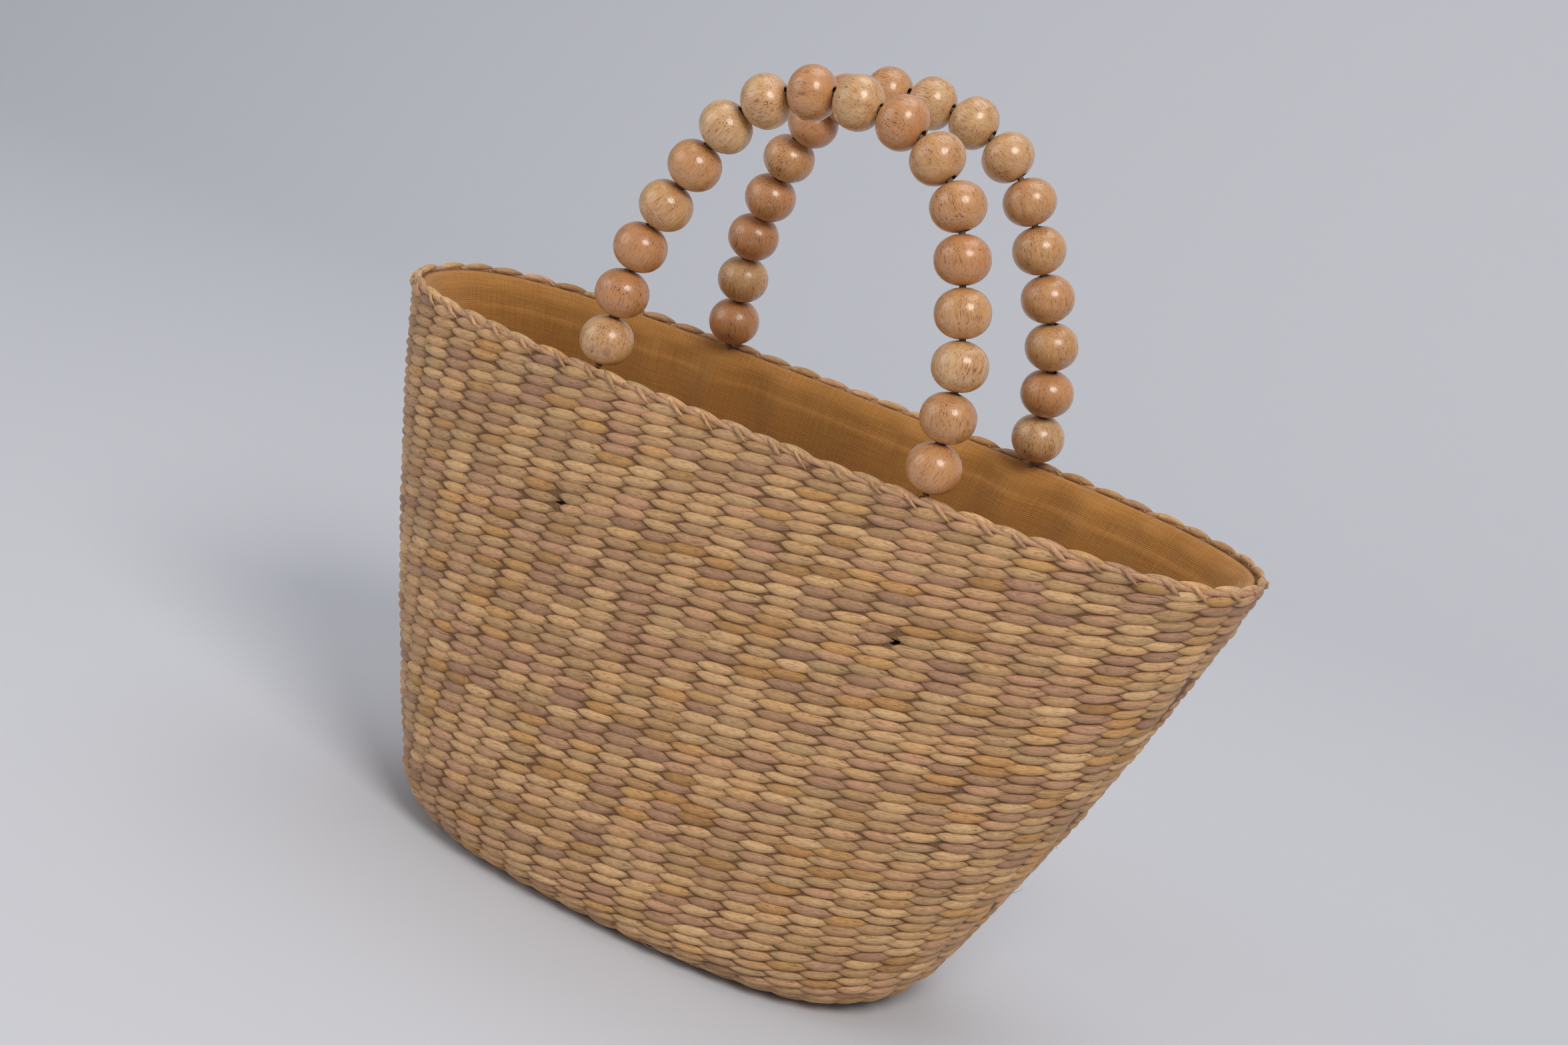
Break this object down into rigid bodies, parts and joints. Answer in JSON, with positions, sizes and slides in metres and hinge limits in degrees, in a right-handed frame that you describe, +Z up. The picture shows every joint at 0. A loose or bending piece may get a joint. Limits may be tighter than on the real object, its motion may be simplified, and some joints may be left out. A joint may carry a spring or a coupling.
{
  "type": "straw tote bag",
  "caption": "Flared straw tote with a twined wall, plaited border, loose cloth lining and two arched handles of wooden beads on cord.",
  "frame": {"origin": "on the floor, midway along the mouth and midway across the base", "axes": "+X along the mouth towards the end that flares more, -Y the front side, +Z up"},
  "size_m": [0.4462, 0.1529, 0.4135],
  "materials": {
    "straw": "twined dry straw, satin",
    "straw_border": "plaited dry straw, satin",
    "lining_cloth": "open coarse weave, matte",
    "bead_wood": "clear lacquer",
    "cord": "matte twisted cord"
  },
  "bodies": {
    "bag": {"woven_body": "straw", "rim_border": "straw_border", "lining": "lining_cloth", "front_cord_ends": "cord", "back_cord_ends": "cord"},
    "front_handle": {"front_cord": "cord"},
    "front_bead_01": {"front_bead_01": "bead_wood"},
    "front_bead_02": {"front_bead_02": "bead_wood"},
    "front_bead_03": {"front_bead_03": "bead_wood"},
    "front_bead_04": {"front_bead_04": "bead_wood"},
    "front_bead_05": {"front_bead_05": "bead_wood"},
    "front_bead_06": {"front_bead_06": "bead_wood"},
    "front_bead_07": {"front_bead_07": "bead_wood"},
    "front_bead_08": {"front_bead_08": "bead_wood"},
    "front_bead_09": {"front_bead_09": "bead_wood"},
    "front_bead_10": {"front_bead_10": "bead_wood"},
    "front_bead_11": {"front_bead_11": "bead_wood"},
    "front_bead_12": {"front_bead_12": "bead_wood"},
    "front_bead_13": {"front_bead_13": "bead_wood"},
    "front_bead_14": {"front_bead_14": "bead_wood"},
    "front_bead_15": {"front_bead_15": "bead_wood"},
    "front_bead_16": {"front_bead_16": "bead_wood"},
    "front_bead_17": {"front_bead_17": "bead_wood"},
    "back_handle": {"back_cord": "cord"},
    "back_bead_01": {"back_bead_01": "bead_wood"},
    "back_bead_02": {"back_bead_02": "bead_wood"},
    "back_bead_03": {"back_bead_03": "bead_wood"},
    "back_bead_04": {"back_bead_04": "bead_wood"},
    "back_bead_05": {"back_bead_05": "bead_wood"},
    "back_bead_06": {"back_bead_06": "bead_wood"},
    "back_bead_07": {"back_bead_07": "bead_wood"},
    "back_bead_08": {"back_bead_08": "bead_wood"},
    "back_bead_09": {"back_bead_09": "bead_wood"},
    "back_bead_10": {"back_bead_10": "bead_wood"},
    "back_bead_11": {"back_bead_11": "bead_wood"},
    "back_bead_12": {"back_bead_12": "bead_wood"},
    "back_bead_13": {"back_bead_13": "bead_wood"},
    "back_bead_14": {"back_bead_14": "bead_wood"},
    "back_bead_15": {"back_bead_15": "bead_wood"},
    "back_bead_16": {"back_bead_16": "bead_wood"},
    "back_bead_17": {"back_bead_17": "bead_wood"}
  },
  "joints": [
    {"name": "handle_front_swing", "type": "hinge", "parent": "bag", "child": "front_handle", "pos_m": [0, -0.05466, 0.26425], "axis": [1, 0.0071, 0], "range_deg": [-14.5, 112]},
    {"name": "handle_back_swing", "type": "hinge", "parent": "bag", "child": "back_handle", "pos_m": [0, 0.06485, 0.26425], "axis": [-1, 0.0065, 0], "range_deg": [-9.9, 116]},
    {"name": "spin_front_01", "type": "hinge", "parent": "front_handle", "child": "front_bead_01", "pos_m": [-0.08499, -0.05526, 0.26425], "axis": [0.0313, 0.0839, 0.996], "continuous": true},
    {"name": "spin_front_02", "type": "hinge", "parent": "front_handle", "child": "front_bead_02", "pos_m": [-0.08428, -0.05336, 0.28686], "axis": [0.0313, 0.0839, 0.996], "continuous": true},
    {"name": "spin_front_03", "type": "hinge", "parent": "front_handle", "child": "front_bead_03", "pos_m": [-0.0819, -0.05145, 0.30933], "axis": [0.1968, 0.0834, 0.9769], "continuous": true},
    {"name": "spin_front_04", "type": "hinge", "parent": "front_handle", "child": "front_bead_04", "pos_m": [-0.07539, -0.04959, 0.33096], "axis": [0.3591, 0.0806, 0.9298], "continuous": true},
    {"name": "spin_front_05", "type": "hinge", "parent": "front_handle", "child": "front_bead_05", "pos_m": [-0.06723, -0.04776, 0.35206], "axis": [0.3591, 0.0806, 0.9298], "continuous": true},
    {"name": "spin_front_06", "type": "hinge", "parent": "front_handle", "child": "front_bead_06", "pos_m": [-0.05784, -0.04597, 0.37259], "axis": [0.5451, 0.074, 0.8351], "continuous": true},
    {"name": "spin_front_07", "type": "hinge", "parent": "front_handle", "child": "front_bead_07", "pos_m": [-0.04233, -0.04449, 0.38893], "axis": [0.8069, 0.0551, 0.5882], "continuous": true},
    {"name": "spin_front_08", "type": "hinge", "parent": "front_handle", "child": "front_bead_08", "pos_m": [-0.02201, -0.04353, 0.39872], "axis": [0.9638, 0.0291, 0.2649], "continuous": true},
    {"name": "spin_front_09", "type": "hinge", "parent": "front_handle", "child": "front_bead_09", "pos_m": [0.00049, -0.04318, 0.40096], "axis": [1, 0.0071, 0], "continuous": true},
    {"name": "spin_front_10", "type": "hinge", "parent": "front_handle", "child": "front_bead_10", "pos_m": [0.023, -0.0432, 0.39884], "axis": [0.9661, -0.0148, -0.2577], "continuous": true},
    {"name": "spin_front_11", "type": "hinge", "parent": "front_handle", "child": "front_bead_11", "pos_m": [0.04341, -0.04386, 0.3892], "axis": [0.8119, -0.0431, -0.5821], "continuous": true},
    {"name": "spin_front_12", "type": "hinge", "parent": "front_handle", "child": "front_bead_12", "pos_m": [0.05906, -0.04511, 0.37298], "axis": [0.5524, -0.0659, -0.831], "continuous": true},
    {"name": "spin_front_13", "type": "hinge", "parent": "front_handle", "child": "front_bead_13", "pos_m": [0.06835, -0.04677, 0.35242], "axis": [0.334, -0.0765, -0.9395], "continuous": true},
    {"name": "spin_front_14", "type": "hinge", "parent": "front_handle", "child": "front_bead_14", "pos_m": [0.07594, -0.04851, 0.33109], "axis": [0.334, -0.0765, -0.9395], "continuous": true},
    {"name": "spin_front_15", "type": "hinge", "parent": "front_handle", "child": "front_bead_15", "pos_m": [0.08212, -0.05029, 0.30936], "axis": [0.1838, -0.081, -0.9796], "continuous": true},
    {"name": "spin_front_16", "type": "hinge", "parent": "front_handle", "child": "front_bead_16", "pos_m": [0.08425, -0.05217, 0.28686], "axis": [0.0324, -0.0834, -0.996], "continuous": true},
    {"name": "spin_front_17", "type": "hinge", "parent": "front_handle", "child": "front_bead_17", "pos_m": [0.08499, -0.05406, 0.26425], "axis": [0.0324, -0.0834, -0.996], "continuous": true},
    {"name": "spin_back_01", "type": "hinge", "parent": "back_handle", "child": "back_bead_01", "pos_m": [-0.085, 0.0654, 0.26425], "axis": [0.0308, -0.1634, 0.9861], "continuous": true},
    {"name": "spin_back_02", "type": "hinge", "parent": "back_handle", "child": "back_bead_02", "pos_m": [-0.0843, 0.06169, 0.28664], "axis": [0.0308, -0.1634, 0.9861], "continuous": true},
    {"name": "spin_back_03", "type": "hinge", "parent": "back_handle", "child": "back_bead_03", "pos_m": [-0.08275, 0.05799, 0.30896], "axis": [0.1494, -0.1624, 0.9753], "continuous": true},
    {"name": "spin_back_04", "type": "hinge", "parent": "back_handle", "child": "back_bead_04", "pos_m": [-0.0775, 0.05435, 0.33073], "axis": [0.2703, -0.159, 0.9495], "continuous": true},
    {"name": "spin_back_05", "type": "hinge", "parent": "back_handle", "child": "back_bead_05", "pos_m": [-0.07137, 0.05074, 0.35228], "axis": [0.2703, -0.159, 0.9495], "continuous": true},
    {"name": "spin_back_06", "type": "hinge", "parent": "back_handle", "child": "back_bead_06", "pos_m": [-0.06219, 0.04731, 0.37263], "axis": [0.5626, -0.1386, 0.815], "continuous": true},
    {"name": "spin_back_07", "type": "hinge", "parent": "back_handle", "child": "back_bead_07", "pos_m": [-0.04634, 0.04459, 0.38847], "axis": [0.819, -0.0989, 0.5652], "continuous": true},
    {"name": "spin_back_08", "type": "hinge", "parent": "back_handle", "child": "back_bead_08", "pos_m": [-0.02582, 0.04292, 0.39773], "axis": [0.9692, -0.0464, 0.2419], "continuous": true},
    {"name": "spin_back_09", "type": "hinge", "parent": "back_handle", "child": "back_bead_09", "pos_m": [-0.00328, 0.04246, 0.39962], "axis": [1, -0.0065, 0], "continuous": true},
    {"name": "spin_back_10", "type": "hinge", "parent": "back_handle", "child": "back_bead_10", "pos_m": [0.01917, 0.04274, 0.39705], "axis": [0.9588, 0.0403, -0.2811], "continuous": true},
    {"name": "spin_back_11", "type": "hinge", "parent": "back_handle", "child": "back_bead_11", "pos_m": [0.03931, 0.04427, 0.38697], "axis": [0.796, 0.0938, -0.598], "continuous": true},
    {"name": "spin_back_12", "type": "hinge", "parent": "back_handle", "child": "back_bead_12", "pos_m": [0.05453, 0.0469, 0.37049], "axis": [0.5298, 0.1351, -0.8373], "continuous": true},
    {"name": "spin_back_13", "type": "hinge", "parent": "back_handle", "child": "back_bead_13", "pos_m": [0.06445, 0.05017, 0.35036], "axis": [0.4168, 0.1458, -0.8972], "continuous": true},
    {"name": "spin_back_14", "type": "hinge", "parent": "back_handle", "child": "back_bead_14", "pos_m": [0.0739, 0.05348, 0.32999], "axis": [0.4077, 0.1465, -0.9013], "continuous": true},
    {"name": "spin_back_15", "type": "hinge", "parent": "back_handle", "child": "back_bead_15", "pos_m": [0.08115, 0.05694, 0.30879], "axis": [0.2291, 0.1575, -0.9606], "continuous": true},
    {"name": "spin_back_16", "type": "hinge", "parent": "back_handle", "child": "back_bead_16", "pos_m": [0.08424, 0.06059, 0.28664], "axis": [0.0424, 0.1629, -0.9857], "continuous": true},
    {"name": "spin_back_17", "type": "hinge", "parent": "back_handle", "child": "back_bead_17", "pos_m": [0.085, 0.06429, 0.26425], "axis": [0.0329, 0.163, -0.9861], "continuous": true}
  ]
}
